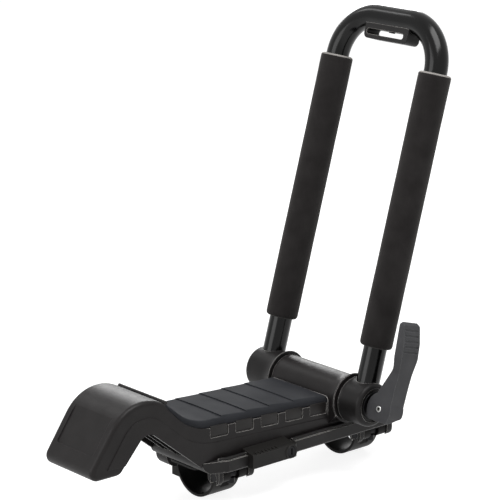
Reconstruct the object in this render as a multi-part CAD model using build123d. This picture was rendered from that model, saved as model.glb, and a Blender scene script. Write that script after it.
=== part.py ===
from build123d import *
import math
import os

# Folding j-style kayak carrier that clamps to a roof crossbar, in millimetres with +Z up.
# +X runs from the hook to the upright, and -Y is the side with the cam lever.
# Every size below is measured from the middle of the hub axis.
# Finished pieces are moved so that the origin is the middle of the crossbar seat face.

os.makedirs("parts", exist_ok=True)

# Hub axis above the crossbar seat and behind the middle between the two straps
hub_x = 56.5
hub_z = 50.0
lean = 16.04

# Clearances
seat_gap = 0.02
slip_gap = 0.05
loose_gap = 0.3

# Upright: a bent steel tube with two foam sleeves
leg_y = 79.4
tube_radius = 13.4
tube_wall = 2.0
arm_length = 429.5
bend_radius = 52.0
leg_end = -12.0
foam_radius = 18.8
foam_start = 63.6
foam_top_gap = 0.2
foam_low_round = 4.5
foam_top_round = 2.0

# Strap bracket under the top of the upright
bracket_half = 34.8
bracket_drop = 27.1
bracket_rise = 8.5
bracket_front = -10.0
bracket_back = 11.0
bracket_corner = 6.0
slot_length = 58.5
slot_height = 6.6
slot_floor = 4.8
slot_y = 1.4
bracket_head_radius = 3.7
bracket_head_high = 1.3

# Hubs at the foot of the upright
hub_end = 96.2
hub_waist_rise = 0.2
hub_tail_drop = 0.2
hub_tail_y = 91.4
near_hub_face = 64.5
near_hub_rise = 1.0
near_hub_waist = 69.0
far_hub_face = 50.0
far_hub_rise = 3.9
far_hub_waist = 66.0
hub_recess_rim = 0.8
hub_recess_depth = 2.4

# Tension rod, its cam lever and the parts they pull on
rod_radius = 5.0
rod_far_end = 88.0
plate_radius = 15.5
plate_thick = 1.7
pivot_y = -114.0
eye_radius = 9.0
eye_thick = 8.0
neck_half = 2.9
lever_slot = 9.0
lever_half = 10.5
grip_half = 13.0
lever_pin_radius = 3.5
lever_foot = -14.2
lever_foot_rise = 7.5
lever_tip = 102.6
grip_start = 62.0
ridge_count = 5
ridge_pitch = 6.0
ridge_radius = 1.5
ridge_deep = 0.8
ridge_half = 11.0
nut_gap = 0.2
nut_half = 11.0
cap_radius = 14.0
cap_depth = 1.2

# Barrel of the cradle that the hubs turn on
barrel_radius = 25.4
barrel_wall = 4.0
barrel_near = -61.0
barrel_far = 48.0
flange_rise = 3.8
flange_start = -46.0
web_thick = 6.0
bush_radius = 8.0
disc_inset = 3.4

# Side line of the cradle: front face, crest, ramp, valley and seat
front_angle = 54.6
ramp_angle = -41.0
seat_angle = -2.8
apex = (-293.85, 78.5)
seat_point = (-176.0, 11.5)
crest_radius = 51.5
valley_radius = 67.0
tip_z = -21.0
tip_radius = 10.0
inner_tip_radius = 13.0
toe_z = -37.0
foot_z = -33.0
shell_rear = 20.0
shell_wall = 4.0
rim_round = 5.0

# Arch under the hook
arch_front_angle = 48.6
arch_ramp_angle = -39.0
arch_apex = (-282.6, 22.2)
arch_radius = 14.0
arch_wall = 4.0

# Plan of the cradle, which widens towards the barrel
plan_front = -372.0
plan_front_half = 41.3
plan_rear_half = 49.0

# Features moulded into the cradle
crease_hook = 18.0
crease_seat = 24.5
crease_step = 0.8
crease_end = 10.0
panel_start = 31.5
panel_half = 31.5
panel_long = 60.0
panel_deep = 1.2
panel_corner = 3.0
rib_thick = 2.5
rib_places = (-22.0, 0.0, 22.0)
rib_inset = 3.0
boss_radius = 5.5
screw_places = ((-196.0, 33.0), (-110.0, 36.0), (-40.0, 36.0))
screw_radius = 2.0
screw_length = 22.0
screw_head_radius = 4.0
screw_head_high = 3.0
gusset_front = -25.5
gusset_top = 1.5
gusset_low = -15.5

# Rubber seat pad
pad_step_back = 6.0
pad_thin = 3.5
pad_thick = 7.5
pad_inset = 1.5
pad_round = 3.0
pad_rear = -26.0
lip_wide = 4.6
lip_proud = 2.3
lip_half = 40.5
lip_gap = 0.1
lip_round = 1.0
groove_places = (-176.5, -141.5, -108.0, -73.0)
groove_deep = 1.3
tab_places = (-183.8, -148.0, -111.8, -76.0, -40.0)
tab_long = 24.2
tab_top = 6.0
tab_bottom = 18.5
tab_gap = 0.45

# Base tray
tray_front = -208.0
tray_rear = 90.0
tray_half = 57.0
tray_low = -47.0
tray_facet_long = 28.0
tray_facet_wide = 12.0
tray_facet_round = 3.0
tray_rear_corner = 20.0
tray_lip_high = 3.0
tray_lip_inset = 2.0
tray_lip_wide = 3.5
tray_lip_round = 0.8
lip_clear = 0.4
tray_plate = 4.0
tray_wall = 4.0
tray_chamfer = 1.5
tray_bow = 13.5
spine_pockets = ((-196.0, -112.0), (-104.0, -8.0), (0.0, 78.0))
spine_pocket_half = 20.0
side_pockets = ((-120.0, -60.0), (-55.0, 5.0))
side_pocket_inner = 27.0
pad_seat_half = 24.0
pad_seat_front = -200.0
pad_seat_rear = 82.0
pad_land_front = -138.0
pad_land_rear = 25.0
pad_land_high = 0.8
pad_seat_corner = 8.0

# Lock on the side of the tray
lock_left = -153.0
lock_right = -86.0
lock_out = 9.0
lock_top = -31.0
lock_crown = -27.5
lock_x = -97.0
lock_z = -39.5
lock_radius = 6.5
lock_bezel = 8.2
lock_proud = 0.8
lock_gap = 0.5
lock_ridges = 7
lock_ridge_pitch = 5.0
lock_ridge_wide = 1.6
lock_ridge_deep = 0.8

# Clamp straps round the crossbar
strap_places = (-163.0, 50.0)
strap_wide = 36.0
strap_thick = 3.0
strap_radius = 34.0
strap_z = -55.5
strap_pin_radius = 5.0
strap_pin_gap = 0.1
strap_slot_gap = 0.2
window_wide = 12.5
window_low = -76.0
lug_radius = 9.5
lug_gap = 0.5
lug_thick = 8.0
lug_thin = 6.0
lug_drop = 12.0
nose_long = 16.0
nose_drop = 7.0
nose_round = 15.5
knuckle_out = 40.6
knuckle_drop = 19.5
bolt_radius = 3.0
bolt_head_radius = 5.0
bolt_head_high = 6.0
bolt_top = -36.5
insert_radius = 4.6
insert_long = 11.0

# Longer than the whole part, for cutters that pass right through
reach = 800.0
# Wider than the cradle to each side
side_reach = 70.0

# Values that follow from the ones above
front_dir = (math.cos(math.radians(front_angle)), math.sin(math.radians(front_angle)))
ramp_dir = (math.cos(math.radians(ramp_angle)), math.sin(math.radians(ramp_angle)))
seat_dir = (math.cos(math.radians(seat_angle)), math.sin(math.radians(seat_angle)))
arch_front_dir = (math.cos(math.radians(arch_front_angle)), math.sin(math.radians(arch_front_angle)))
arch_ramp_dir = (math.cos(math.radians(arch_ramp_angle)), math.sin(math.radians(arch_ramp_angle)))
foam_end = arm_length - bend_radius - foam_top_gap
screw_tip = foot_z + screw_length - tray_plate
bracket_low = arm_length - bracket_drop
bracket_high = arm_length - bracket_rise
slot_low = bracket_low + slot_floor
slot_top = slot_low + slot_height
nut_radius = tube_radius - tube_wall - nut_gap
flange_radius = barrel_radius + flange_rise
disc_radius = barrel_radius - disc_inset
hub_waist_radius = barrel_radius + hub_waist_rise
hub_tail_radius = barrel_radius - hub_tail_drop
near_hub_rim = barrel_radius + near_hub_rise
far_hub_rim = barrel_radius + far_hub_rise
hub_round = hub_end - hub_tail_y
hub_recess_radius = hub_tail_radius - hub_round - hub_recess_rim
loop_inner = strap_pin_radius + strap_pin_gap
loop_outer = loop_inner + strap_thick
loop_y = strap_radius + loop_inner
cam_radius = -pivot_y - hub_end + hub_recess_depth - plate_thick - loose_gap
side_plane = Plane(origin=(0, 0, 0), x_dir=(1, 0, 0), z_dir=(0, -1, 0))
cross_plane = Plane(origin=(0, 0, 0), x_dir=(0, 1, 0), z_dir=(1, 0, 0))
hub_place = Pos(hub_x, 0, hub_z)
arm_place = Pos(hub_x, 0, hub_z) * Rot(0, lean, 0)


def sunk(point, direction, depth):
    """A point moved square to a line of the side view, into the cradle."""
    return (point[0] + depth * direction[1], point[1] - depth * direction[0])


def crossing(p, u, q, v):
    """Where the line through p along u meets the line through q along v."""
    det = u[0] * v[1] - u[1] * v[0]
    step = ((q[0] - p[0]) * v[1] - (q[1] - p[1]) * v[0]) / det
    return (p[0] + step * u[0], p[1] + step * u[1])


def crest(front_depth, ramp_depth):
    front = sunk(apex, front_dir, front_depth)
    ramp = sunk(apex, ramp_dir, ramp_depth)
    return crossing(front, front_dir, ramp, ramp_dir)


def valley(ramp_depth, seat_depth):
    ramp = sunk(apex, ramp_dir, ramp_depth)
    seat = sunk(seat_point, seat_dir, seat_depth)
    return crossing(ramp, ramp_dir, seat, seat_dir)


def arch(depth):
    front = sunk(arch_apex, arch_front_dir, depth)
    ramp = sunk(arch_apex, arch_ramp_dir, depth)
    return crossing(front, arch_front_dir, ramp, arch_ramp_dir)


def arch_front_at(z, depth):
    return crossing(sunk(arch_apex, arch_front_dir, depth), arch_front_dir, (0, z), (1, 0))


def arch_ramp_at(z, depth):
    return crossing(sunk(arch_apex, arch_ramp_dir, depth), arch_ramp_dir, (0, z), (1, 0))


def front_at(z, depth):
    return crossing(sunk(apex, front_dir, depth), front_dir, (0, z), (1, 0))


def seat_at(x, depth):
    return crossing(sunk(seat_point, seat_dir, depth), seat_dir, (x, 0), (0, 1))


def side_prism(points, radii, half):
    """A side-view outline with rounded corners, drawn out to both sides."""
    outline = FilletPolyline(*points, radius=radii, close=True)
    return extrude(side_plane * make_face(outline), amount=half, both=True)


def cradle_half(x):
    """Half the width of the cradle at a place along it."""
    slope = (plan_rear_half - plan_front_half) / (shell_rear - plan_front)
    return plan_front_half + slope * (x - plan_front)


def plan_prism(inset):
    """The tapering plan of the cradle, narrowed by inset, as a tall prism."""
    rear_x = shell_rear + 40
    front_half = plan_front_half - inset
    rear_half = cradle_half(rear_x) - inset
    outline = Polyline(
        (plan_front, -front_half),
        (rear_x, -rear_half),
        (rear_x, rear_half),
        (plan_front, front_half),
        close=True,
    )
    return Pos(0, 0, -100) * extrude(make_face(outline), amount=250)


def turned(edges):
    """A solid of revolution about the hub axis from a half section of (y, radius)."""
    return revolve(cross_plane * make_face(edges), axis=Axis.Y)


def rod_along_y(radius, start, end, x=0, z=0):
    middle = (start + end) / 2
    return Pos(x, middle, z) * Rot(90, 0, 0) * Cylinder(radius, abs(end - start))


def rod_along_x(radius, start, end, y=0, z=0):
    middle = (start + end) / 2
    return Pos(middle, y, z) * Rot(0, 90, 0) * Cylinder(radius, abs(end - start))


def rod_along_z(radius, start, end, x=0, y=0):
    return Pos(x, y, (start + end) / 2) * Cylinder(radius, abs(end - start))


def block(x0, x1, y0, y1, z0, z1):
    size = Box(x1 - x0, y1 - y0, z1 - z0)
    return Pos((x0 + x1) / 2, (y0 + y1) / 2, (z0 + z1) / 2) * size


def save(name, shape, place=hub_place):
    export_step(place * shape, "parts/" + name + ".step")


# Cradle shell
def cradle_outline(hook=0, seat=0, end=0):
    """Side outline of the cradle, with its top line sunk by two depths and its tip cut short."""
    points = [
        front_at(tip_z + end, hook),
        crest(hook, hook),
        valley(hook, seat),
        seat_at(shell_rear, seat),
        (shell_rear, foot_z),
        (tray_front - 0.4, foot_z),
        (tray_front - 0.4, toe_z),
        arch_ramp_at(toe_z, 0),
        arch(0),
        arch_front_at(tip_z + end, 0),
    ]
    front_round = tip_radius if end == 0 else 0
    radii = [front_round, crest_radius - hook, valley_radius + hook, 0, 0, 0, 0, 0, arch_radius, 0]
    return points, radii


def cradle_block(inset):
    points, radii = cradle_outline()
    return side_prism(points, radii, side_reach) & plan_prism(inset)


def crest_height(x):
    """Height of the crest arc over a place on it, and the direction square to it there."""
    centre = crest(crest_radius, crest_radius)
    across = x - centre[0]
    up = math.sqrt(crest_radius**2 - across**2)
    return centre[1] + up, (across / crest_radius, up / crest_radius)


# The pad starts a little way back on the crest from where the ramp begins
pad_step_x = crest(crest_radius, crest_radius)[0] - crest_radius * ramp_dir[1] - pad_step_back


def pad_zone():
    """The space above the ledge that the rubber pad lies on."""
    step_top, outward = crest_height(pad_step_x)
    points = [
        (pad_step_x, step_top - pad_thin),
        valley(pad_thick, pad_thick),
        seat_at(pad_rear, pad_thick),
        (pad_rear, 120),
        (pad_step_x, 120),
    ]
    return side_prism(points, [0, valley_radius + pad_thick, 0, 0, 0], side_reach)


def lip_bar(grow):
    """The raised bar that ends the pad on the crest."""
    step_top, outward = crest_height(pad_step_x)
    square = Plane(
        origin=(pad_step_x, 0, step_top),
        x_dir=(outward[1], 0, -outward[0]),
        z_dir=(outward[0], 0, outward[1]),
    )
    bar = Box(lip_wide + 2 * grow, 2 * (lip_half + grow), lip_proud + pad_thin - 0.5 + grow)
    bar = Pos(lip_wide / 2, 0, (lip_proud - pad_thin + 0.5 - grow) / 2) * bar
    if grow == 0:
        top = bar.faces().sort_by(Axis.Z)[-1]
        bar = fillet(top.edges(), lip_round)
    return square * bar


def tab_prism(grow, half):
    """The row of tabs that the pad hooks over the side walls, one solid for each."""
    parts = []
    for x in tab_places:
        start = x - tab_long / 2 - grow
        end = x + tab_long / 2 + grow
        points = [
            seat_at(start, tab_top),
            seat_at(end, tab_top),
            seat_at(end, tab_bottom + grow),
            seat_at(start, tab_bottom + grow),
        ]
        parts.append(side_prism(points, [0, 0, 2, 2], half))
    return parts


def cavity():
    """The hollow under the skin of the cradle, open below."""
    skin = shell_wall + pad_thick
    points = [
        front_at(tip_z + shell_wall, shell_wall),
        crest(shell_wall, skin),
        valley(skin, skin),
        seat_at(shell_rear - shell_wall, skin),
        (shell_rear - shell_wall, foot_z - 12),
        arch_ramp_at(foot_z - 12, arch_wall),
        arch(arch_wall),
        arch_front_at(tip_z + shell_wall, arch_wall),
    ]
    radii = [4, crest_radius - skin, valley_radius + skin, 0, 0, 0, arch_radius - arch_wall, 0]
    return side_prism(points, radii, side_reach) & plan_prism(shell_wall)


def rib_prism():
    skin = shell_wall + pad_thick - 2
    points = [
        front_at(tip_z + 1, 2),
        crest(2, skin),
        valley(skin, skin),
        seat_at(shell_rear - 1, skin),
        (shell_rear - 1, foot_z + 0.4),
        arch_ramp_at(foot_z + 0.4, -rib_inset),
        arch(-rib_inset),
        arch_front_at(tip_z + 1, -rib_inset),
    ]
    radii = [0, crest_radius - skin, valley_radius + skin, 0, 0, 0, arch_radius + rib_inset, 0]
    return side_prism(points, radii, side_reach)


def lower_wall():
    """The part of the side wall below the crease, which stands out a little."""
    points, radii = cradle_outline(crease_hook, crease_seat, crease_end)
    return side_prism(points, radii, side_reach) & plan_prism(-crease_step)


def front_panel():
    """The shallow plain panel let into the face of the hook."""
    start = front_at(tip_z, 0)
    face = Plane(
        origin=(start[0], 0, start[1]),
        x_dir=(front_dir[0], 0, front_dir[1]),
        z_dir=(-front_dir[1], 0, front_dir[0]),
    )
    high = 8.0
    cutter = Box(panel_long, 2 * panel_half, high)
    low_edges = cutter.edges().filter_by(Axis.Z).group_by(Axis.X)[0]
    cutter = fillet(low_edges, panel_corner)
    return face * Pos(panel_start + panel_long / 2, 0, high / 2 - panel_deep) * cutter


def barrel_body():
    edges = [
        Line((barrel_far, 0), (barrel_far, barrel_radius)),
        Line((barrel_far, barrel_radius), (flange_start, barrel_radius)),
        TangentArc(
            (flange_start, barrel_radius),
            (barrel_near + 1, flange_radius),
            tangent=(-1, 0),
        ),
        Line((barrel_near + 1, flange_radius), (barrel_near, flange_radius - 0.6)),
        Line((barrel_near, flange_radius - 0.6), (barrel_near, 0)),
        Line((barrel_near, 0), (barrel_far, 0)),
    ]
    return turned(edges)


def gusset():
    """The three-cornered web that braces the flange at the near end of the barrel."""
    outline = Polyline(
        (flange_start, gusset_top),
        (barrel_near, gusset_low),
        (flange_start, foot_z + tray_lip_high + loose_gap),
        close=True,
    )
    web = extrude(cross_plane * make_face(outline), amount=-gusset_front)
    return Pos(gusset_front, 0, 0) * web


def rim_edges(solid):
    """The long edges where the top skin turns down into the side walls."""
    line = FilletPolyline(
        arch_front_at(tip_z, 0),
        front_at(tip_z, 0),
        crest(0, 0),
        valley(0, 0),
        seat_at(shell_rear, 0),
        radius=[tip_radius, crest_radius, valley_radius],
    )
    line = side_plane * line
    chosen = []
    for edge in solid.edges():
        middle = edge @ 0.5
        flat = Vertex(middle.X, 0, middle.Z)
        if abs(middle.Y) > 35 and line.distance_to(flat) < 0.1:
            chosen.append(edge)
    return chosen


def cradle_shell():
    body = cradle_block(0)
    body = fillet(rim_edges(body), rim_round)
    points, radii = cradle_outline()
    radii[-1] = inner_tip_radius
    body &= side_prism(points, radii, side_reach)
    body += lower_wall()
    body -= pad_zone()
    body -= lip_bar(lip_gap)
    recess = plan_prism(-5) - plan_prism(pad_inset + loose_gap)
    for prism in tab_prism(tab_gap, side_reach):
        body -= prism & recess
    body -= front_panel()
    hollow = cavity()
    ribs = rib_prism()
    for y in rib_places:
        hollow -= ribs & block(-reach, reach, y - rib_thick / 2, y + rib_thick / 2, -reach, reach)
    for x, y in screw_places:
        for side in (-y, y):
            hollow -= rod_along_z(boss_radius, foot_z, 60, x, side)
    body -= hollow
    body += barrel_body()
    body += gusset()
    body -= rod_along_y(disc_radius + loose_gap, barrel_far, barrel_far + 5)
    body -= rod_along_y(barrel_radius - barrel_wall, barrel_near + web_thick, barrel_far - web_thick)
    body -= rod_along_y(bush_radius + seat_gap, barrel_near - 1, barrel_far + 1)
    for x, y in screw_places:
        for side in (-y, y):
            body -= rod_along_z(screw_radius + slip_gap, foot_z - 1, screw_tip + 1, x, side)
    return body


def seat_pad():
    body = cradle_block(pad_inset) & pad_zone()
    body = fillet(rim_edges(body), pad_round)
    body += lip_bar(0)
    for x in groove_places:
        points = [
            seat_at(x - 1.5, -1),
            seat_at(x - 1.5, groove_deep),
            seat_at(x + 1.5, groove_deep),
            seat_at(x + 12, -1),
        ]
        body -= side_prism(points, [0, 0, 0, 0], side_reach)
    edge_strip = plan_prism(0) - plan_prism(pad_inset + 0.1)
    for prism in tab_prism(0, side_reach):
        body += prism & edge_strip
    body -= rod_along_y(barrel_radius + loose_gap, -side_reach, side_reach)
    return body


# Base tray and the parts fixed to it
def tray_outline(inset):
    front = tray_front + inset
    rear = tray_rear - inset
    half = tray_half - inset
    rear_corner = tray_rear_corner - inset
    size = math.hypot(tray_facet_long, tray_facet_wide)
    along = (tray_facet_long / size, tray_facet_wide / size)
    start = (tray_front + inset * along[1], tray_half - tray_facet_wide - inset * along[0])
    first = crossing(start, along, (front, 0), (0, 1))
    last = crossing(start, along, (0, half), (1, 0))
    outline = FilletPolyline(
        (first[0], -first[1]),
        (last[0], -last[1]),
        (rear, -half),
        (rear, half),
        last,
        first,
        radius=[tray_facet_round, 0, rear_corner, rear_corner, 0, tray_facet_round],
        close=True,
    )
    return make_face(outline)


def near_lug(x0, x1):
    """A rounded ear under the tray round the near end of one strap."""
    ear = rod_along_x(lug_radius, x0, x1, -loop_y, strap_z)
    return ear + block(x0, x1, -loop_y - lug_radius, -loop_y + lug_radius, strap_z, tray_low + 1)


def far_lug(x0, x1):
    """A square ear under the tray round the hinge pin of one strap."""
    return block(x0, x1, loop_y - lug_radius, loop_y + lug_radius, strap_z - lug_drop, tray_low + 1)


def nose_lug(x1):
    """The front ear of a hinge pin, with a rounded nose."""
    y0 = loop_y - lug_radius
    y1 = loop_y + lug_radius
    body = block(x1 - nose_long, x1, y0, y1, strap_z - nose_drop, tray_low + 1)
    low = body.edges().filter_by(Axis.Y).group_by(Axis.Z)[0].sort_by(Axis.X)[0]
    return fillet([low], nose_round)


def base_tray():
    body = Pos(0, 0, tray_low) * extrude(tray_outline(0), amount=foot_z - tray_low)
    bottom = body.faces().sort_by(Axis.Z)[0]
    body = chamfer(bottom.edges(), tray_chamfer)
    bow = [(tray_front, foot_z), (tray_rear, foot_z), (tray_rear, tray_low), (tray_front, tray_low)]
    body &= side_prism(bow, [0, 0, 0, tray_bow], side_reach)
    lip_outer = extrude(tray_outline(tray_lip_inset), amount=tray_lip_high)
    lip_inner = extrude(tray_outline(tray_lip_inset + tray_lip_wide), amount=tray_lip_high)
    lip = lip_outer - lip_inner
    lip = Pos(0, 0, foot_z) * fillet(lip.faces().sort_by(Axis.Z)[-1].edges(), tray_lip_round)
    clear = plan_rear_half + crease_step + lip_clear
    lip -= block(-reach, shell_rear + 2, -clear, clear, -reach, reach)
    lip -= block(lock_left - lock_gap, lock_right + lock_gap, -reach, 0, -reach, reach)
    body += lip
    plate_low = foot_z - tray_plate
    inner = tray_half - tray_wall
    for start, end in spine_pockets:
        body -= block(start, end, -spine_pocket_half, spine_pocket_half, tray_low - 1, plate_low)
    for side in (-1, 1):
        low = min(side * side_pocket_inner, side * inner)
        high = max(side * side_pocket_inner, side * inner)
        for start, end in side_pockets:
            body -= block(start, end, low, high, tray_low - 1, plate_low)
    for xs in strap_places:
        edge = strap_wide / 2 + lug_gap
        near = near_lug(xs + edge, xs + edge + lug_thick) + near_lug(xs - edge - lug_thin, xs - edge)
        slot = strap_pin_radius + strap_slot_gap
        near -= rod_along_x(slot, xs - strap_wide, xs + strap_wide, -loop_y, strap_z)
        near -= block(xs - strap_wide, xs + strap_wide, -loop_y - slot, -loop_y + slot, -reach, strap_z)
        far = nose_lug(xs - edge) + far_lug(xs + edge, xs + edge + lug_thin)
        pin_start = xs - edge - lug_thick
        far -= rod_along_x(strap_pin_radius + seat_gap, pin_start, xs + strap_wide, loop_y, strap_z)
        body += near
        body += far
        body -= rod_along_z(insert_radius + seat_gap, tray_low - 1, tray_low + insert_long, xs, -loop_y)
    for x, y in screw_places:
        for side in (-y, y):
            body -= rod_along_z(screw_radius + slip_gap, tray_low - 1, 0, x, side)
            body -= rod_along_z(screw_head_radius + loose_gap, tray_low - 1, plate_low, x, side)
    return body


def saddle_pad():
    """The rubber strip on the crossbar, lowest on the stretch between the straps."""
    low = -hub_z
    base = low + pad_land_high
    body = block(pad_seat_front, pad_seat_rear, -pad_seat_half, pad_seat_half, base, tray_low)
    body = fillet(body.edges().filter_by(Axis.Z), pad_seat_corner)
    return body + block(pad_land_front, pad_land_rear, -pad_seat_half, pad_seat_half, low, base)


def lock_housing():
    outer = -tray_half - lock_out
    back = cradle_half(lock_right) + crease_step + loose_gap
    body = block(lock_left, lock_right, outer, -tray_half, tray_low, lock_top)
    upright = body.edges().filter_by(Axis.Z).group_by(Axis.Y)[0].sort_by(Axis.X)
    body = fillet([upright[-1]], 6)
    body = chamfer(body.faces().sort_by(Axis.Z)[-1].edges().filter_by(Axis.X), 0.8)
    body += rod_along_y(lock_bezel, outer - lock_proud, outer + 1, lock_x, lock_z) & block(
        -reach, reach, -reach, 0, tray_low, lock_top
    )
    cover = Polyline(
        (outer + 2, lock_top),
        (-back, lock_crown),
        (-back, foot_z),
        (outer + 2, foot_z),
        close=True,
    )
    cover = extrude(cross_plane * make_face(cover), amount=lock_right - lock_left - 6)
    body += Pos(lock_left, 0, 0) * cover
    body -= rod_along_y(lock_radius + slip_gap, outer - 2, -tray_half - 1.5, lock_x, lock_z)
    for step in range(lock_ridges):
        x = lock_left + lock_ridge_pitch * (step + 1)
        body -= block(x, x + lock_ridge_wide, outer - 1, outer + 6, lock_top - lock_ridge_deep, lock_top + 1)
    return body


def lock_cylinder():
    outer = -tray_half - lock_out - lock_proud
    body = rod_along_y(lock_radius, outer, -tray_half - 1.8, lock_x, lock_z)
    body = chamfer(body.edges().group_by(Axis.Y)[0], 0.5)
    body -= block(lock_x - 0.9, lock_x + 0.9, outer - 1, outer + 3, lock_z - 3.8, lock_z + 3.8)
    return body


def strap(xs):
    """A steel strap bent round the crossbar, with a rolled loop at each end and a square far knuckle."""
    band_face = Circle(strap_radius) - Circle(strap_radius - strap_thick)
    band_face -= Pos(0, strap_radius) * Rectangle(3 * strap_radius, 2 * strap_radius)
    for side in (-1, 1):
        ring = Circle(loop_outer) - Circle(loop_inner)
        band_face += Pos(side * loop_y, 0) * ring
    body = extrude(cross_plane * Pos(0, strap_z) * band_face, amount=strap_wide)
    body = Pos(xs - strap_wide / 2, 0, 0) * body
    knuckle = block(xs - strap_wide / 2, xs + strap_wide / 2, 0, knuckle_out, strap_z - knuckle_drop, strap_z)
    knuckle -= rod_along_x(strap_radius - strap_thick / 2, xs - strap_wide, xs + strap_wide, 0, strap_z)
    knuckle -= rod_along_x(loop_inner + strap_thick / 2, xs - strap_wide, xs + strap_wide, loop_y, strap_z)
    body += knuckle
    window = block(xs - window_wide / 2, xs + window_wide / 2, -60, -strap_radius + 6, window_low, -40)
    return body - window


def clamp_bolt(xs):
    """A socket-head screw that pulls the near end of a strap up."""
    head_top = strap_z - strap_pin_radius
    head = rod_along_z(bolt_head_radius, head_top - bolt_head_high, head_top, xs, -loop_y)
    head = fillet(head.edges().group_by(Axis.Z)[0], 0.8)
    socket = RegularPolygon(2.9, 6)
    socket = extrude(socket, amount=3.5)
    head -= Pos(xs, -loop_y, head_top - bolt_head_high - 0.5) * socket
    return head + rod_along_z(bolt_radius, head_top, bolt_top, xs, -loop_y)


def clamp_insert(xs):
    body = rod_along_z(insert_radius, tray_low, tray_low + insert_long, xs, -loop_y)
    return body - rod_along_z(bolt_radius + seat_gap, -60, 0, xs, -loop_y)


def strap_barrel(xs):
    edge = strap_wide / 2 + lug_gap
    body = rod_along_x(strap_pin_radius, xs - edge - lug_thin, xs + edge + lug_thin, -loop_y, strap_z)
    return body - rod_along_z(bolt_radius + slip_gap, -80, 0, xs, -loop_y)


def hinge_pin(xs):
    edge = strap_wide / 2 + lug_gap
    return rod_along_x(strap_pin_radius, xs - edge - lug_thick, xs + edge + lug_thin, loop_y, strap_z)


def cradle_screw(x, y):
    top = foot_z - tray_plate
    head = rod_along_z(screw_head_radius, top - screw_head_high, top, x, y)
    return head + rod_along_z(screw_radius, top, top + screw_length, x, y)


def pivot_bush(start, end):
    body = rod_along_y(bush_radius, start, end)
    return body - rod_along_y(rod_radius + slip_gap, start - 1, end + 1)


def friction_disc(start, end):
    body = rod_along_y(disc_radius, start, end)
    return body - rod_along_y(rod_radius + loose_gap + 0.2, min(start, end) - 1, max(start, end) + 1)


# Upright, built standing on the hub axis and leant over when it is saved
def arm_path():
    return FilletPolyline(
        (0, -leg_y, leg_end),
        (0, -leg_y, arm_length),
        (0, leg_y, arm_length),
        (0, leg_y, leg_end),
        radius=bend_radius,
    )


def arm_rod(radius):
    start = Plane(origin=(0, -leg_y, leg_end), z_dir=(0, 0, 1))
    return sweep(start * Circle(radius), path=arm_path())


def arm_tube():
    body = arm_rod(tube_radius) - arm_rod(tube_radius - tube_wall)
    body -= rod_along_y(rod_radius + slip_gap, -reach, reach)
    body -= rod_along_z(screw_radius + slip_gap, bracket_low, arm_length)
    return body


def foam_sleeve(side):
    inner = tube_radius + slip_gap
    body = rod_along_z(foam_radius, foam_start, foam_end, 0, side * leg_y)
    rims = body.edges().group_by(Axis.Z)
    body = fillet(rims[0], foam_low_round)
    body = fillet(body.edges().group_by(Axis.Z)[-1], foam_top_round)
    return body - rod_along_z(inner, foam_start - 1, foam_end + 1, 0, side * leg_y)


def hub_body(face, rim, waist, side):
    shoulder = hub_round * math.sqrt(0.5)
    centre = (hub_tail_y, hub_tail_radius - hub_round)
    edges = [
        Line((face, 0), (face, rim - 0.5)),
        Line((face, rim - 0.5), (face + 0.5, rim)),
        TangentArc((waist, hub_waist_radius), (face + 0.5, rim), tangent=(-1, 0)),
        Line((waist, hub_waist_radius), (hub_tail_y, hub_tail_radius)),
        ThreePointArc(
            (hub_tail_y, hub_tail_radius),
            (centre[0] + shoulder, centre[1] + shoulder),
            (hub_end, centre[1]),
        ),
        Line((hub_end, centre[1]), (hub_end, 0)),
        Line((hub_end, 0), (face, 0)),
    ]
    body = turned(edges)
    if side < 0:
        body = mirror(body, about=Plane.XZ)
    body -= rod_along_z(tube_radius + seat_gap, leg_end - 0.3, reach, 0, side * leg_y)
    return body


def near_hub():
    body = hub_body(near_hub_face, near_hub_rim, near_hub_waist, -1)
    body -= rod_along_y(hub_recess_radius, -hub_end - 1, -hub_end + hub_recess_depth)
    return body - rod_along_y(rod_radius + slip_gap, -reach, 0)


def far_hub():
    body = hub_body(far_hub_face, far_hub_rim, far_hub_waist, 1)
    body -= rod_along_y(cap_radius, hub_end - cap_depth, hub_end + 1)
    return body - rod_along_y(rod_radius + slip_gap, 0, rod_far_end)


def far_end_cap():
    body = rod_along_y(cap_radius - slip_gap, hub_end - cap_depth, hub_end + 0.6)
    return fillet(body.edges().group_by(Axis.Y)[-1], 1.2)


def rod_nut():
    body = rod_along_z(nut_radius, -nut_half, nut_half, 0, leg_y)
    return body - rod_along_y(rod_radius + seat_gap, 0, reach)


def pressure_plate():
    inner = -hub_end + hub_recess_depth
    body = rod_along_y(plate_radius, inner - plate_thick, inner)
    body = chamfer(body.edges().group_by(Axis.Y)[0], 0.4)
    return body - rod_along_y(rod_radius + slip_gap, -reach, 0)


def tension_rod():
    neck_start = -hub_end + hub_recess_depth
    body = rod_along_y(rod_radius, neck_start, rod_far_end)
    body += block(-eye_thick / 2, eye_thick / 2, pivot_y, neck_start + 2, -neck_half, neck_half)
    body += rod_along_x(eye_radius, -eye_thick / 2, eye_thick / 2, pivot_y, 0)
    return body - rod_along_x(lever_pin_radius + slip_gap, -10, 10, pivot_y, 0)


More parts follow.
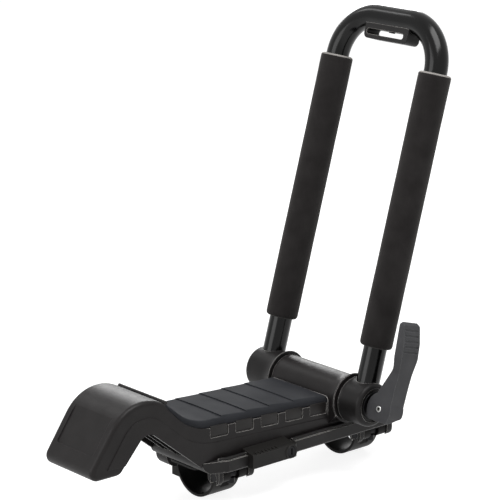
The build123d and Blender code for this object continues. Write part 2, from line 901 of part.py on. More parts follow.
def strap_bracket():
    body = block(bracket_front, bracket_back, -bracket_half, bracket_half, bracket_low, bracket_high)
    low = body.faces().sort_by(Axis.Z)[0]
    body = fillet(low.edges().filter_by(Axis.X), bracket_corner)
    ends = body.faces().filter_by(Axis.X)
    body = fillet(ends.edges(), 1.0)
    slot = RectangleRounded(slot_length, slot_height, slot_height / 2 - 0.4)
    slot_plane = Plane(origin=(0, slot_y, slot_low + slot_height / 2), x_dir=(0, 1, 0), z_dir=(1, 0, 0))
    body -= extrude(slot_plane * slot, amount=2 * bracket_back, both=True)
    body -= arm_rod(tube_radius + seat_gap)
    body -= rod_along_z(screw_radius + slip_gap, slot_low, arm_length)
    body -= rod_along_z(bracket_head_radius + loose_gap, bracket_low - 1, slot_low + 1)
    return body


def bracket_screw():
    """The screw through the roof of the slot, driven through a hole in its floor."""
    head = rod_along_z(bracket_head_radius, slot_top - bracket_head_high, slot_top)
    head = fillet(head.edges().group_by(Axis.Z)[0], 0.4)
    shank_end = arm_length - tube_radius + tube_wall + 1.5
    body = head + rod_along_z(screw_radius, slot_top, shank_end)
    socket = extrude(RegularPolygon(1.6, 6), amount=0.9)
    return body - Pos(0, 0, slot_top - bracket_head_high) * socket


# Cam lever, with its pivot on the rod eye
def cam_lever():
    grip_root = (-20.2, grip_start)
    grip_bend = (-18.4, 80.0)
    grip_end = (-13.0, lever_tip - 4)
    points = [
        (-16.0, lever_foot),
        (11.0, lever_foot),
        (9.4, 12.5),
        (-9.1, 49.0),
        (-6.1, lever_tip - 4),
        (-8.6, lever_tip),
        grip_end,
        grip_bend,
        grip_root,
        (-17.8, 30.0),
    ]
    outline = FilletPolyline(*points, radius=[3, 2, 0, 14, 1.5, 1.5, 3, 20, 20, 30], close=True)
    section = make_face(outline) + Circle(cam_radius)
    section -= Pos(0, lever_foot - reach / 2) * Rectangle(reach, reach)
    body = extrude(cross_plane * section, amount=grip_half, both=True)
    front = FilletPolyline(
        (-lever_half, lever_foot),
        (lever_half, lever_foot + lever_foot_rise),
        (lever_half, 44.0),
        (grip_half, grip_start),
        (grip_half, lever_tip + 0.5),
        (-grip_half, lever_tip + 0.5),
        (-grip_half, grip_start),
        (-lever_half, 44.0),
        radius=[1, 3, 20, 20, 6, 6, 20, 20],
        close=True,
    )
    body &= extrude(side_plane * make_face(front), amount=60, both=True)
    for step in range(ridge_count):
        z = lever_tip - ridge_pitch * (step + 1.5)
        low, high = (grip_bend, grip_end) if z > grip_bend[1] else (grip_root, grip_bend)
        face_y = low[0] + (high[0] - low[0]) * (z - low[1]) / (high[1] - low[1])
        body -= rod_along_x(ridge_radius, -ridge_half, ridge_half, face_y - ridge_radius + ridge_deep, z)
    body -= block(-lever_slot / 2, lever_slot / 2, -eye_radius - 0.6, 40, -40, eye_radius + 0.6)
    body -= rod_along_x(lever_pin_radius + seat_gap, -40, 40)
    return Pos(0, pivot_y, 0) * body


def lever_pin():
    half = lever_half + 0.5
    body = rod_along_x(lever_pin_radius, -half, half, pivot_y, 0)
    body = fillet(body.edges(), 0.5)
    return body - rod_along_x(lever_pin_radius - 1.4, -half - 1, half + 1, pivot_y, 0)


near_disc_end = loose_gap - near_hub_face
far_disc_end = far_hub_face - loose_gap

save("base_tray", base_tray())
save("saddle_pad", saddle_pad())
save("cradle_shell", cradle_shell())
save("seat_pad", seat_pad())
save("lock_housing", lock_housing())
save("lock_cylinder", lock_cylinder())
save("front_strap", strap(strap_places[0]))
save("rear_strap", strap(strap_places[1]))
save("strap_barrels", Compound([strap_barrel(xs) for xs in strap_places]))
save("strap_hinge_pins", Compound([hinge_pin(xs) for xs in strap_places]))
save("clamp_bolts", Compound([clamp_bolt(xs) for xs in strap_places]))
save("clamp_inserts", Compound([clamp_insert(xs) for xs in strap_places]))
save("cradle_screws", Compound([cradle_screw(x, side * y) for x, y in screw_places for side in (-1, 1)]))
save("pivot_bush_near", pivot_bush(barrel_near, barrel_near + web_thick))
save("pivot_bush_far", pivot_bush(barrel_far - web_thick, barrel_far))
save("friction_disc_near", friction_disc(near_disc_end, barrel_near))
save("friction_disc_far", friction_disc(barrel_far, far_disc_end))

save("arm_tube", arm_tube(), arm_place)
save("foam_near", foam_sleeve(-1), arm_place)
save("foam_far", foam_sleeve(1), arm_place)
save("near_hub", near_hub(), arm_place)
save("far_hub", far_hub(), arm_place)
save("far_end_cap", far_end_cap(), arm_place)
save("strap_bracket", strap_bracket(), arm_place)
save("bracket_screws", bracket_screw(), arm_place)
save("tension_rod", tension_rod(), arm_place)
save("rod_nut", rod_nut(), arm_place)
save("pressure_plate", pressure_plate(), arm_place)
save("cam_lever", cam_lever(), arm_place)
save("lever_pin", lever_pin(), arm_place)
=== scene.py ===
import math

import bmesh
import bpy
from mathutils import Matrix, Vector, noise


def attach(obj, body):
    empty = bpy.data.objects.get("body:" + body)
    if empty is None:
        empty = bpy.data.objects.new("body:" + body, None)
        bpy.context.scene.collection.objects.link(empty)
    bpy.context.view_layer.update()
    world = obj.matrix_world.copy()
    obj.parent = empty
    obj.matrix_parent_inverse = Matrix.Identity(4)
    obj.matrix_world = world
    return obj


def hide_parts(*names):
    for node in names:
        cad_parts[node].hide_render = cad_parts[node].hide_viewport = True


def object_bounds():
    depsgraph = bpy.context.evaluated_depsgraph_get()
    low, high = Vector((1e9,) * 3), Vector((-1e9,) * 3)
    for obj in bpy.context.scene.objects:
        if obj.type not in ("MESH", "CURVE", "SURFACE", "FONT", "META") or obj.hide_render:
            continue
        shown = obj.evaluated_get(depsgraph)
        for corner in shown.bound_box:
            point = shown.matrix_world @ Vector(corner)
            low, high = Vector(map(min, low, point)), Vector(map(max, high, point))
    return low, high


# Folding kayak carrier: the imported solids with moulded, coated and foam finishes, on a white studio floor.
# Meshes are in metres in the part's own frame, with the crossbar seat at the origin and +Z up.

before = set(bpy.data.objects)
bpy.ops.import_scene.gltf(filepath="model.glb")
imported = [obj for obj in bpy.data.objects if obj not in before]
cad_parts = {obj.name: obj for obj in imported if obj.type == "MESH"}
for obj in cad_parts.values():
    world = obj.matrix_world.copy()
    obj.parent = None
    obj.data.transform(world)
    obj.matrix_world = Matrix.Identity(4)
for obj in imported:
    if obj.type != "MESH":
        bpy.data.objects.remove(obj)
cad_low, cad_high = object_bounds()
MM = 0.001

# The hub axis, and the upright that stands on it and leans towards +X
HUB = Vector((56.5, 0.0, 50.0)) * MM
LEAN = math.radians(16.04)
UPRIGHT = Matrix.Translation(HUB) @ Matrix.Rotation(LEAN, 4, "Y")
LEG_Y = 79.4 * MM

# Foam sleeves on the legs, measured along the upright from the hub axis
TUBE_RADIUS = 13.4 * MM
FOAM_RADIUS = 18.8 * MM
FOAM_START = 63.6 * MM
FOAM_END = 377.3 * MM
FOAM_LOW_ROUND = 4.5 * MM
FOAM_TOP_ROUND = 3.2 * MM
FOAM_DIP = 0.6 * MM

# Steps round a foam edge, to a hundredth of its radius: how far each lies in from the side and from the end
ROUND_STEPS = [
    (round(1.0 - math.sin(angle), 2), round(1.0 - math.cos(angle), 2))
    for angle in (math.radians(22.5 * step) for step in range(5))
]

# How unevenly the foam lies: its height, its waves in a metre, and a shift that makes the sleeves differ
SWELL_HEIGHT = 0.2 * MM
SWELL_WAVES = 38.0
SWELL_SHIFT = 7.0

# Lengths from here to the saddle strip are in millimetres, and places are from the hub axis.
# Side line of the cradle's top: crest arc, ramp, valley arc and seat
CREST_X, CREST_Z, CREST_RADIUS = -284.77, 2.37, 51.5
VALLEY_X, VALLEY_Z, VALLEY_RADIUS = -192.77, 79.40, 67.0
RAMP = math.radians(41.0)
SEAT = math.radians(2.8)

# Plan of the cradle, which widens from the hook to the barrel
PLAN_FRONT, PLAN_REAR = -372.0, 20.0
PLAN_FRONT_HALF, PLAN_REAR_HALF = 41.3, 49.0
PLAN_TAPER = (PLAN_REAR_HALF - PLAN_FRONT_HALF) / (PLAN_REAR - PLAN_FRONT)

# Seat pad: its sheet, and the tiles that rise from it like shingles
PAD_FRONT = -256.9
PAD_REAR = -26.0
PAD_INSET = 1.6
PAD_EDGE_ROUND = 4.2
PAD_REAR_ROUND = 2.0
PAD_LIFT = 0.9
PAD_CROWN = 0.7
PAD_THIN = 3.3
PAD_DEEP = 6.6
PAD_DEEPENS = 0.15
TILE_STARTS = (-176.5, -141.5, -108.0, -73.0)
TILE_RISE = 1.3
TILE_RUN = 35.0
TILE_STEP = 0.4
TILE_FADE = 2.5

# Trim of the pad: the bar on the crest, and the tabs on the side walls, shifted a little forward and up
LIP_SIZE = (4.6, 81.0, 6.5)
LIP_PROUD = 3.5
LIP_ROUND = 1.0
TAB_PLACES = (-183.8, -148.0, -111.8, -76.0, -40.0)
TAB_LONG = 23.8
TAB_TOP, TAB_BOTTOM = 6.0, 18.5
TAB_THICK = 2.9
TAB_SUNK = 0.2
TAB_SHIFT = 0.4
TAB_ROUND = 0.7

# Saddle strip under the tray
SADDLE_FRONT, SADDLE_REAR = -200.0, 82.0
SADDLE_HALF = 24.0
SADDLE_CORNER = 8.0
SADDLE_TOP, SADDLE_BASE, SADDLE_LOW = -47.0, -49.2, -50.0
RIDGES_FRONT, RIDGES_REAR = -138.0, 25.0
RIDGE_COUNT = 27
RIDGE_PITCH = (RIDGES_REAR - RIDGES_FRONT) / RIDGE_COUNT
RIDGE_SLOPE = 0.9

# Where the cradle's painted edge highlights begin: millimetres in the part's frame, level with the seat
HIGHLIGHT_ZONE_X = (-149.5, -143.5)
HIGHLIGHT_ZONE_Z = (33.1, 35.6)

# Floor, in metres, and the strengths of the floor's glow and the world's light
FLOOR_HALF = 30.0
FLOOR_GAP = 0.5 * MM
FLOOR_GLOW = 0.87
WORLD_LIGHT = 0.35


# Colours and nodes
def linear(code):
    """An sRGB hex colour as linear RGBA."""
    values = []
    for place in (1, 3, 5):
        c = int(code[place:place + 2], 16) / 255.0
        values.append(c / 12.92 if c <= 0.04045 else ((c + 0.055) / 1.055) ** 2.4)
    return (*values, 1.0)


def node(tree, kind, settings=None, ordered=(), **links):
    """Adds a node: settings are properties or socket values, ordered and named sources are joined to it."""
    made = tree.nodes.new(kind)
    for key, value in (settings or {}).items():
        if isinstance(key, str) and hasattr(made, key):
            setattr(made, key, value)
        else:
            made.inputs[key].default_value = value
    for socket, source in zip(made.inputs, ordered):
        if source is not None:
            tree.links.new(source, socket)
    for key, source in links.items():
        tree.links.new(source, made.inputs[key.replace("_", " ")])
    return made


def waves(size_mm):
    """The scale of a pattern whose features are of the given size."""
    return 1.0 / (size_mm * MM)


def new_material(name):
    """An empty material, its node tree and the piece's own coordinates."""
    material = bpy.data.materials.new(name)
    material.use_nodes = True
    tree = material.node_tree
    tree.nodes.clear()
    place = node(tree, "ShaderNodeTexCoord").outputs["Object"]
    return material, tree, place


def finish_material(tree, shader):
    """Joins the shader to the material's output."""
    node(tree, "ShaderNodeOutputMaterial", Surface=shader.outputs[0])


def mottled(tree, place, low, high, size_mm):
    """A soft drift between two colours, in patches of the given size."""
    pattern = node(tree, "ShaderNodeTexNoise", {"Scale": waves(size_mm), "Detail": 3.0}, Vector=place)
    ramp = node(tree, "ShaderNodeValToRGB", Fac=pattern.outputs["Fac"])
    for element, position, code in zip(ramp.color_ramp.elements, (0.3, 0.7), (low, high)):
        element.position = position
        element.color = linear(code)
    return ramp.outputs["Color"]


def drifting(tree, place, low, high, size_mm):
    """A value, such as a roughness, that drifts between two ends as moulding and handling leave it."""
    pattern = node(tree, "ShaderNodeTexNoise", {"Scale": waves(size_mm), "Detail": 4.0}, Vector=place)
    spread = node(tree, "ShaderNodeMapRange", {"To Min": low, "To Max": high}, Value=pattern.outputs["Fac"])
    return spread.outputs["Result"]


def grained(tree, place, size_mm, height_mm, strength, edge_mm=0.0):
    """A fine random texture of the given grain size and height, over edges eased by edge_mm, as a normal."""
    grain = node(tree, "ShaderNodeTexNoise", {"Scale": waves(size_mm), "Detail": 2.0}, Vector=place)
    relief = {"Strength": strength, "Distance": height_mm * MM}
    bump = node(tree, "ShaderNodeBump", relief, Height=grain.outputs["Fac"])
    if edge_mm:
        eased = node(tree, "ShaderNodeBevel", {"samples": 6, "Radius": edge_mm * MM})
        tree.links.new(eased.outputs["Normal"], bump.inputs["Normal"])
    return bump.outputs["Normal"]


def edge_highlight_zone(tree, place):
    """Mask for the painted edge highlights: 1 round the seat's tabs and the barrel, 0 on the hook and from
    the crease of the side walls down.
    """
    level = node(tree, "ShaderNodeMapping", {"Rotation": (0.0, -SEAT, 0.0)}, Vector=place)
    apart = node(tree, "ShaderNodeSeparateXYZ", Vector=level.outputs["Vector"])
    inside = []
    for axis, (start, end) in (("X", HIGHLIGHT_ZONE_X), ("Z", HIGHLIGHT_ZONE_Z)):
        limits = {"From Min": start * MM, "From Max": end * MM}
        inside.append(node(tree, "ShaderNodeMapRange", limits, Value=apart.outputs[axis]).outputs["Result"])
    return node(tree, "ShaderNodeMath", {"operation": "MULTIPLY"}, inside).outputs[0]


def painted_edge_highlights(tree, colour, shine, edge_mm, zone=None):
    """Paints a highlight along edges: lightens a colour where the surface turns, where the edges would catch
    the light.
    """
    eased = node(tree, "ShaderNodeBevel", {"samples": 6, "Radius": edge_mm * MM})
    flat = node(tree, "ShaderNodeNewGeometry")
    normals = (eased.outputs["Normal"], flat.outputs["Normal"])
    turn = node(tree, "ShaderNodeVectorMath", {"operation": "DOT_PRODUCT"}, normals)
    edge_glint = node(tree, "ShaderNodeMapRange", {"From Min": 0.97, "From Max": 0.8}, Value=turn.outputs["Value"])
    share = edge_glint.outputs["Result"]
    if zone:
        share = node(tree, "ShaderNodeMath", {"operation": "MULTIPLY"}, (share, zone)).outputs[0]
    # The colour sockets of this node are its inputs 6 and 7 and its output 2
    mix = node(tree, "ShaderNodeMix", {"data_type": "RGBA", 7: linear(shine)}, Factor=share)
    tree.links.new(colour, mix.inputs[6])
    return mix.outputs[2]


# Materials
def moulded_nylon(name, low, high, shine, rough, specular=0.24, edge_mm=0.9, find_zone=None):
    """Glass-filled nylon from a spark-eroded mould: satin, near even, with a fine grain, eased edges and a
    painted highlight along them.

    The real grain is about 0.2 mm, which is too fine to show, so it is drawn at 0.9 mm.
    """
    material, tree, place = new_material(name)
    zone = find_zone(tree, place) if find_zone else None
    shader = node(
        tree,
        "ShaderNodeBsdfPrincipled",
        {"IOR": 1.5, "Specular IOR Level": specular},
        Base_Color=painted_edge_highlights(tree, mottled(tree, place, low, high, size_mm=18.2), shine, edge_mm, zone),
        Roughness=drifting(tree, place, rough - 0.05, rough + 0.06, size_mm=11.1),
        Normal=grained(tree, place, size_mm=0.9, height_mm=0.05, strength=0.4, edge_mm=edge_mm),
    )
    finish_material(tree, shader)
    return material


def powder_coat(name, low, high, rough, specular):
    """Black powder coat on steel: glossy, with a faint orange peel about 3 mm across."""
    material, tree, place = new_material(name)
    shader = node(
        tree,
        "ShaderNodeBsdfPrincipled",
        {"IOR": 1.5, "Specular IOR Level": specular},
        Base_Color=mottled(tree, place, low, high, size_mm=25.0),
        Roughness=drifting(tree, place, rough - 0.03, rough + 0.04, size_mm=16.7),
        Normal=grained(tree, place, size_mm=3.0, height_mm=0.02, strength=0.2),
    )
    finish_material(tree, shader)
    return material


def closed_cell_foam(name, low, high):
    """EVA foam, matt, with 1.3 mm pores on 9 mm lumps: charcoal, or pale grey for the painted highlight on a
    sleeve's top rim.
    """
    material, tree, place = new_material(name)
    pores = node(tree, "ShaderNodeTexVoronoi", {"Scale": waves(1.3)}, Vector=place)
    lumps = node(tree, "ShaderNodeTexNoise", {"Scale": waves(9.0), "Detail": 3.0}, Vector=place)
    height = node(
        tree,
        "ShaderNodeMath",
        {"operation": "MULTIPLY_ADD", 1: 0.35},
        (pores.outputs["Distance"], None, lumps.outputs["Fac"]),
    )
    relief = {"Strength": 0.35, "Distance": 0.3 * MM}
    bump = node(tree, "ShaderNodeBump", relief, Height=height.outputs[0])
    shader = node(
        tree,
        "ShaderNodeBsdfPrincipled",
        {
            "IOR": 1.45,
            "Specular IOR Level": 0.1,
            "Roughness": 0.9,
            "Sheen Weight": 0.2,
            "Sheen Roughness": 0.5,
            "Sheen Tint": linear("#c2bfbc"),
        },
        Base_Color=mottled(tree, place, low, high, size_mm=22.2),
        Normal=bump.outputs["Normal"],
    )
    finish_material(tree, shader)
    return material


def moulded_rubber(name, low, high, shine, rough, specular=0.3):
    """Moulded rubber: matt, with a texture of 0.7 mm, a dusty drift of tone and a painted highlight along
    its edges.
    """
    material, tree, place = new_material(name)
    shader = node(
        tree,
        "ShaderNodeBsdfPrincipled",
        {"IOR": 1.5, "Specular IOR Level": specular},
        Base_Color=painted_edge_highlights(tree, mottled(tree, place, low, high, size_mm=33.3), shine, edge_mm=0.9),
        Roughness=drifting(tree, place, rough - 0.06, rough + 0.05, size_mm=22.2),
        Normal=grained(tree, place, size_mm=0.7, height_mm=0.05, strength=0.4),
    )
    finish_material(tree, shader)
    return material


def turned_metal(name, low, high, rough):
    """Plated steel or plain brass: smooth, with faint tool marks of 0.8 mm and a drift of tone."""
    material, tree, place = new_material(name)
    shader = node(
        tree,
        "ShaderNodeBsdfPrincipled",
        {"Metallic": 1.0},
        Base_Color=mottled(tree, place, low, high, size_mm=8.3),
        Roughness=drifting(tree, place, rough - 0.05, rough + 0.08, size_mm=5.0),
        Normal=grained(tree, place, size_mm=0.8, height_mm=0.01, strength=0.3),
    )
    finish_material(tree, shader)
    return material


# The third colour of each nylon and rubber below is its painted edge highlight
cradle_nylon = moulded_nylon(
    "cradle_nylon", "#181616", "#1d1b1b", "#b4b1ae", rough=0.4, specular=0.15, find_zone=edge_highlight_zone
)
tray_nylon = moulded_nylon("tray_nylon", "#1d1c1c", "#232222", "#b2afab", rough=0.44, specular=0.14)
lock_nylon = moulded_nylon(
    "lock_nylon", "#161514", "#1b1a19", "#454341", rough=0.44, specular=0.14, edge_mm=0.45
)
hub_nylon = moulded_nylon(
    "hub_nylon", "#171616", "#1c1b1b", "#a9a7a4", rough=0.4, specular=0.12, edge_mm=1.3
)
lever_nylon = moulded_nylon("lever_nylon", "#2f2f31", "#373739", "#5c5d5e", rough=0.5, specular=0.22)
bush_nylon = moulded_nylon("bush_nylon", "#bdbab2", "#c9c6be", "#d2cfc8", rough=0.45)
tube_coat = powder_coat("tube_coat", "#020202", "#040404", rough=0.18, specular=0.22)
strap_coat = powder_coat("strap_coat", "#121111", "#181716", rough=0.45, specular=0.1)
sleeve_foam = closed_cell_foam("sleeve_foam", "#181616", "#211f1f")
# A pale copy of the foam, for the painted highlight on the sleeves' top rims
painted_rim_foam = closed_cell_foam("painted_rim_foam", "#7d7a77", "#8c8986")
seat_rubber = moulded_rubber("seat_rubber", "#232427", "#292a2d", "#2f3033", rough=0.75, specular=0.08)
trim_rubber = moulded_rubber("trim_rubber", "#171514", "#1d1b1a", "#908d8a", rough=0.45, specular=0.22)
saddle_rubber = moulded_rubber("saddle_rubber", "#1c1b1b", "#232222", "#3a3938", rough=0.75)
zinc_steel = turned_metal("zinc_steel", "#c4c4c2", "#d6d6d4", rough=0.28)
black_zinc = turned_metal("black_zinc", "#1c1c1d", "#262627", rough=0.35)
brass_insert = turned_metal("brass_insert", "#b59152", "#c6a361", rough=0.3)

node_finish = {
    "base_tray": tray_nylon,
    "saddle_pad": saddle_rubber,
    "cradle_shell": cradle_nylon,
    "seat_pad": seat_rubber,
    "lock_housing": lock_nylon,
    "lock_cylinder": black_zinc,
    "front_strap": strap_coat,
    "rear_strap": strap_coat,
    "strap_barrels": black_zinc,
    "strap_hinge_pins": black_zinc,
    "clamp_bolts": black_zinc,
    "clamp_inserts": brass_insert,
    "cradle_screws": zinc_steel,
    "pivot_bush_near": bush_nylon,
    "pivot_bush_far": bush_nylon,
    "friction_disc_near": saddle_rubber,
    "friction_disc_far": saddle_rubber,
    "arm_tube": tube_coat,
    "foam_near": sleeve_foam,
    "foam_far": sleeve_foam,
    "near_hub": hub_nylon,
    "far_hub": hub_nylon,
    "far_end_cap": hub_nylon,
    "strap_bracket": tray_nylon,
    "bracket_screws": black_zinc,
    "tension_rod": zinc_steel,
    "rod_nut": zinc_steel,
    "pressure_plate": black_zinc,
    "cam_lever": lever_nylon,
    "lever_pin": zinc_steel,
}
for name, finish in node_finish.items():
    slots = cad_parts[name].data.materials
    slots.clear()
    slots.append(finish)


# New pieces
def make_piece(name, shape, finish, body):
    """Turns a bmesh into an object that rides on a body."""
    bmesh.ops.recalc_face_normals(shape, faces=shape.faces)
    mesh = bpy.data.meshes.new(name)
    shape.to_mesh(mesh)
    shape.free()
    mesh.shade_smooth()
    mesh.set_sharp_from_angle(angle=math.radians(35.0))
    mesh.materials.append(finish)
    piece = bpy.data.objects.new(name, mesh)
    bpy.context.scene.collection.objects.link(piece)
    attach(piece, body)
    return piece


def to_part(shape):
    """Brings a shape drawn in millimetres from the hub axis to its place in metres."""
    bmesh.ops.transform(shape, matrix=Matrix.Translation(HUB) @ Matrix.Scale(MM, 4), verts=shape.verts)


def rounded_bar(shape, size, easing, matrix):
    """Adds a bar with eased edges to a bmesh and puts it in place."""
    made = bmesh.ops.create_cube(shape, size=1.0)["verts"]
    bmesh.ops.scale(shape, vec=size, verts=made)
    bevel = bmesh.ops.bevel(
        shape,
        geom=list({edge for vert in made for edge in vert.link_edges}),
        offset=easing,
        segments=3,
        profile=0.5,
        affect="EDGES",
        material=-1,
        clamp_overlap=True,
    )
    bmesh.ops.transform(shape, matrix=matrix, verts=bevel["verts"])


def foam_sleeve(name, side, replaced):
    """A sleeve of foam tube, turned from its half section and left slightly uneven by hand fitting."""
    shape = bmesh.new()
    section = [(TUBE_RADIUS, FOAM_START + FOAM_DIP)]
    for inward, up in ROUND_STEPS:
        section.append((FOAM_RADIUS - inward * FOAM_LOW_ROUND, FOAM_START + up * FOAM_LOW_ROUND))
    for inward, down in reversed(ROUND_STEPS):
        section.append((FOAM_RADIUS - inward * FOAM_TOP_ROUND, FOAM_END - down * FOAM_TOP_ROUND))
    section.append((TUBE_RADIUS, FOAM_END - FOAM_DIP))
    points = [shape.verts.new((radius, 0.0, height)) for radius, height in section]
    runs = [shape.edges.new((points[i], points[i - 1])) for i in range(len(points))]
    long_runs = [run for run in runs if run.calc_length() > 0.5 * (FOAM_END - FOAM_START)]
    bmesh.ops.subdivide_edges(shape, edges=long_runs, cuts=60)
    bmesh.ops.spin(
        shape,
        geom=shape.verts[:] + shape.edges[:],
        axis=(0, 0, 1),
        cent=(0, 0, 0),
        angle=math.tau,
        steps=72,
        use_merge=True,
    )
    for vert in shape.verts:
        across = Vector((vert.co.x, vert.co.y, 0.0))
        if across.length > TUBE_RADIUS + MM:
            swell = noise.noise(vert.co * SWELL_WAVES + Vector((SWELL_SHIFT * side, 0, 0)))
            vert.co += across.normalized() * SWELL_HEIGHT * (swell - 0.5)
    # Faces round the top rim take the pale foam: a painted highlight where the top edge catches the light
    for face in shape.faces:
        if face.calc_center_median().z > FOAM_END - 0.5 * FOAM_TOP_ROUND:
            face.material_index = 1
    bmesh.ops.transform(
        shape,
        matrix=UPRIGHT @ Matrix.Translation((0, side * LEG_Y, 0)),
        verts=shape.verts,
    )
    sleeve = make_piece(name, shape, sleeve_foam, "upright")
    sleeve.data.materials.append(painted_rim_foam)
    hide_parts(replaced)


def side_line(x):
    """Height of the cradle's top line over a place along it."""
    ramp_from = CREST_X + CREST_RADIUS * math.sin(RAMP)
    ramp_to = VALLEY_X - VALLEY_RADIUS * math.sin(RAMP)
    seat_from = VALLEY_X - VALLEY_RADIUS * math.sin(SEAT)
    if x < ramp_from:
        return CREST_Z + math.sqrt(CREST_RADIUS**2 - (x - CREST_X) ** 2)
    if x < ramp_to:
        return CREST_Z + CREST_RADIUS * math.cos(RAMP) - (x - ramp_from) * math.tan(RAMP)
    if x < seat_from:
        return VALLEY_Z - math.sqrt(VALLEY_RADIUS**2 - (x - VALLEY_X) ** 2)
    return VALLEY_Z - VALLEY_RADIUS * math.cos(SEAT) - (x - seat_from) * math.tan(SEAT)


def side_wall(x):
    """Half the width of the cradle at a place along it."""
    return PLAN_FRONT_HALF + PLAN_TAPER * (x - PLAN_FRONT)


def tile_height(x):
    """How far the overlapping tiles of the pad stand over its line."""
    height = 0.0
    for start in TILE_STARTS:
        if x > start + 0.5 * TILE_STEP:
            height = TILE_RISE * max(0.0, 1.0 - (x - start) / TILE_RUN)
    return height


def rolled_off(radius, inward):
    """How far a rounded edge has dropped at a distance in from it."""
    left = max(0.0, radius - inward)
    return radius - math.sqrt(radius**2 - left**2)


def seat_cover():
    """The slate rubber pad: tiles like shingles, a low crown and a rolled edge that hangs over the shell."""
    shape = bmesh.new()
    bmesh.ops.create_grid(shape, x_segments=110, y_segments=60, size=1.0)
    bmesh.ops.scale(shape, vec=(0.5 * (PAD_REAR - PAD_FRONT), 1, 1), verts=shape.verts)
    bmesh.ops.translate(shape, vec=(0.5 * (PAD_FRONT + PAD_REAR), 0, 0), verts=shape.verts)
    for start in TILE_STARTS:
        for cut in (start, start + TILE_STEP):
            bmesh.ops.bisect_plane(
                shape,
                geom=shape.verts[:] + shape.edges[:] + shape.faces[:],
                plane_co=(cut, 0, 0),
                plane_no=(1, 0, 0),
                dist=1e-4,
            )
    sheet = bmesh.ops.extrude_face_region(shape, geom=shape.faces[:])
    under = {item for item in sheet["geom"] if isinstance(item, bmesh.types.BMVert)}
    for vert in shape.verts:
        # The sheet is drawn from -1 to 1 across, and its rows crowd towards the edges
        x, across = vert.co.x, math.sin(0.5 * math.pi * vert.co.y)
        half = side_wall(x) - PAD_INSET
        vert.co.y = half * across
        line = side_line(x)
        if vert in under:
            vert.co.z = line - min(PAD_DEEP, PAD_THIN + PAD_DEEPENS * (x - PAD_FRONT))
            continue
        inward = half * (1.0 - abs(across))
        drop = rolled_off(PAD_EDGE_ROUND, inward) + rolled_off(PAD_REAR_ROUND, PAD_REAR - x)
        fade = min(1.0, max(0.0, inward / TILE_FADE - 1.0))
        vert.co.z = line + PAD_LIFT + PAD_CROWN * (1.0 - across**2) + fade * tile_height(x) - drop
    bmesh.ops.remove_doubles(shape, verts=shape.verts, dist=1e-4)
    to_part(shape)
    cover = make_piece("seat_cover", shape, seat_rubber, "base")
    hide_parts("seat_pad")


def seat_trim():
    """The black tabs that hook the pad over the side walls, and the bar that ends it on the crest."""
    shape = bmesh.new()
    tall = TAB_BOTTOM - TAB_TOP
    for x in TAB_PLACES:
        for side in (-1, 1):
            out = side_wall(x) - TAB_SUNK - 0.5 * TAB_THICK
            middle = side_line(x) - TAB_TOP - 0.5 * tall + TAB_SHIFT
            place = Matrix.Translation((x - TAB_SHIFT, side * out, middle))
            place @= Matrix.Rotation(SEAT, 4, "Y") @ Matrix.Rotation(side * math.atan(PLAN_TAPER), 4, "Z")
            rounded_bar(shape, (TAB_LONG, TAB_THICK, tall), TAB_ROUND, place)
    lean = math.asin((PAD_FRONT - CREST_X) / CREST_RADIUS)
    place = Matrix.Translation((PAD_FRONT, 0, side_line(PAD_FRONT))) @ Matrix.Rotation(lean, 4, "Y")
    place @= Matrix.Translation((0.5 * LIP_SIZE[0], 0, LIP_PROUD - 0.5 * LIP_SIZE[2]))
    rounded_bar(shape, LIP_SIZE, LIP_ROUND, place)
    to_part(shape)
    trim = make_piece("seat_trim", shape, trim_rubber, "base")
    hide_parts("seat_pad")


def saddle_strip():
    """The rubber strip that grips the crossbar, ridged across on the stretch between the straps."""
    shape = bmesh.new()
    outline = [(SADDLE_FRONT, SADDLE_TOP), (SADDLE_FRONT, SADDLE_BASE), (RIDGES_FRONT, SADDLE_BASE)]
    for count in range(RIDGE_COUNT):
        start = RIDGES_FRONT + count * RIDGE_PITCH
        outline.append((start + RIDGE_SLOPE, SADDLE_LOW))
        outline.append((start + RIDGE_PITCH - RIDGE_SLOPE, SADDLE_LOW))
        outline.append((start + RIDGE_PITCH, SADDLE_BASE))
    outline += [(SADDLE_REAR, SADDLE_BASE), (SADDLE_REAR, SADDLE_TOP)]
    section = shape.faces.new([shape.verts.new((x, -SADDLE_HALF, z)) for x, z in outline])
    drawn = bmesh.ops.extrude_face_region(shape, geom=[section])["geom"]
    far = [item for item in drawn if isinstance(item, bmesh.types.BMVert)]
    bmesh.ops.translate(shape, vec=(0, 2 * SADDLE_HALF, 0), verts=far)
    corners = []
    for edge in shape.edges:
        first, second = (vert.co for vert in edge.verts)
        if abs(first.z - second.z) > 1.0 and first.x == second.x:
            corners.append(edge)
    bmesh.ops.bevel(
        shape,
        geom=corners,
        offset=SADDLE_CORNER,
        segments=6,
        profile=0.5,
        affect="EDGES",
        material=-1,
    )
    to_part(shape)
    strip = make_piece("saddle_strip", shape, saddle_rubber, "base")
    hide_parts("saddle_pad")


foam_sleeve("near_sleeve", -1, "foam_near")
foam_sleeve("far_sleeve", 1, "foam_far")
seat_cover()
seat_trim()
saddle_strip()


# Floor, light and camera
def seen_ray(tree):
    """1 for a ray that shows the surface, directly, in a reflection or through glass."""
    path = node(tree, "ShaderNodeLightPath").outputs
    larger = {"operation": "MAXIMUM"}
    mirrored = node(tree, "ShaderNodeMath", larger, (path["Is Glossy Ray"], path["Is Transmission Ray"]))
    seen = node(tree, "ShaderNodeMath", larger, (path["Is Camera Ray"], mirrored.outputs[0]))
    return seen.outputs[0]


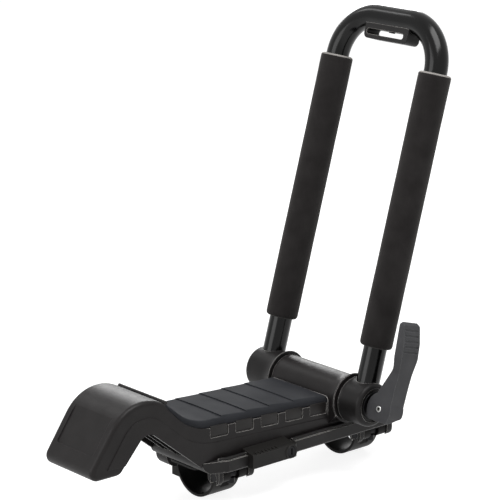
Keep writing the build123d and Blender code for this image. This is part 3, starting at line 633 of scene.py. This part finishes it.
def pale_floor():
    """White paper that keeps a faint shadow where it is seen, and is plain pale paper to the light."""
    shape = bmesh.new()
    bmesh.ops.create_grid(shape, x_segments=1, y_segments=1, size=FLOOR_HALF)
    bmesh.ops.translate(shape, vec=(0, 0, cad_low.z - FLOOR_GAP), verts=shape.verts)
    mesh = bpy.data.meshes.new("floor")
    shape.to_mesh(mesh)
    shape.free()
    floor = bpy.data.objects.new("floor", mesh)
    bpy.context.scene.collection.objects.link(floor)
    material, tree, place = new_material("pale_floor")
    drift = mottled(tree, place, "#e6e6e5", "#eaeae9", size_mm=333.0)
    paper = node(tree, "ShaderNodeBsdfDiffuse", Color=drift)
    glow = node(tree, "ShaderNodeEmission", {"Color": linear("#ffffff"), "Strength": FLOOR_GLOW})
    shade = node(tree, "ShaderNodeBsdfDiffuse", {"Color": linear("#aaaaaa")})
    white = node(tree, "ShaderNodeAddShader", None, (glow.outputs[0], shade.outputs[0]))
    mix = node(tree, "ShaderNodeMixShader", None, (seen_ray(tree), paper.outputs[0], white.outputs[0]))
    finish_material(tree, mix)
    mesh.materials.append(material)


def soft_world():
    """White where it is seen, directly or in a reflection, and a lower level as light."""
    world = bpy.data.worlds.new("studio")
    bpy.context.scene.world = world
    world.use_nodes = True
    tree = world.node_tree
    tree.nodes.clear()
    light = node(tree, "ShaderNodeBackground", {"Color": linear("#ffffff"), "Strength": WORLD_LIGHT})
    white = node(tree, "ShaderNodeBackground", {"Color": linear("#ffffff"), "Strength": 1.0})
    mix = node(tree, "ShaderNodeMixShader", None, (seen_ray(tree), light.outputs[0], white.outputs[0]))
    node(tree, "ShaderNodeOutputWorld", Surface=mix.outputs[0])


def softbox(name, place, aim, size, watts):
    """A rectangular studio lamp at a place, turned to what it lights."""
    lamp = bpy.data.lights.new(name, "AREA")
    lamp.shape = "RECTANGLE"
    lamp.size, lamp.size_y = size
    lamp.energy = watts
    box = bpy.data.objects.new(name, lamp)
    box.location = place
    box.rotation_mode = "QUATERNION"
    box.rotation_quaternion = (Vector(aim) - Vector(place)).to_track_quat("-Z", "Y")
    box.visible_camera = False
    bpy.context.scene.collection.objects.link(box)


def photo_camera():
    """Solved from the photograph: a long lens from the front left, a little above the part."""
    lens = bpy.data.cameras.new("camera")
    lens.sensor_width = 36.0
    lens.lens = 164.8
    lens.clip_start = 0.05
    lens.clip_end = 200.0
    eye = bpy.data.objects.new("camera", lens)
    azimuth = math.radians(-41.09)
    elevation = math.radians(14.94)
    back = Vector((
        math.sin(azimuth) * math.cos(elevation),
        -math.cos(azimuth) * math.cos(elevation),
        math.sin(elevation),
    ))
    eye.location = Vector((-1647.4, -1838.8, 879.9)) * MM
    eye.rotation_mode = "QUATERNION"
    eye.rotation_quaternion = (-back).to_track_quat("-Z", "Y")
    bpy.context.scene.collection.objects.link(eye)
    bpy.context.scene.camera = eye


pale_floor()
soft_world()
softbox("key_box", place=(-0.05, -0.75, 2.1), aim=(0, 0, 0.25), size=(1.4, 1.3), watts=44.0)
softbox("back_box", place=(1.3, 1.7, 0.9), aim=(-0.1, 0, 0.1), size=(1.2, 0.6), watts=17.0)
softbox("left_box", place=(-2.2, 0.3, 0.9), aim=(0, 0, 0.25), size=(1.6, 1.6), watts=27.0)
softbox("top_box", place=(-0.35, 1.5, 1.7), aim=(0.1, 0, 0.4), size=(0.3, 0.8), watts=4.0)
photo_camera()
bpy.context.scene.view_settings.view_transform = "Standard"
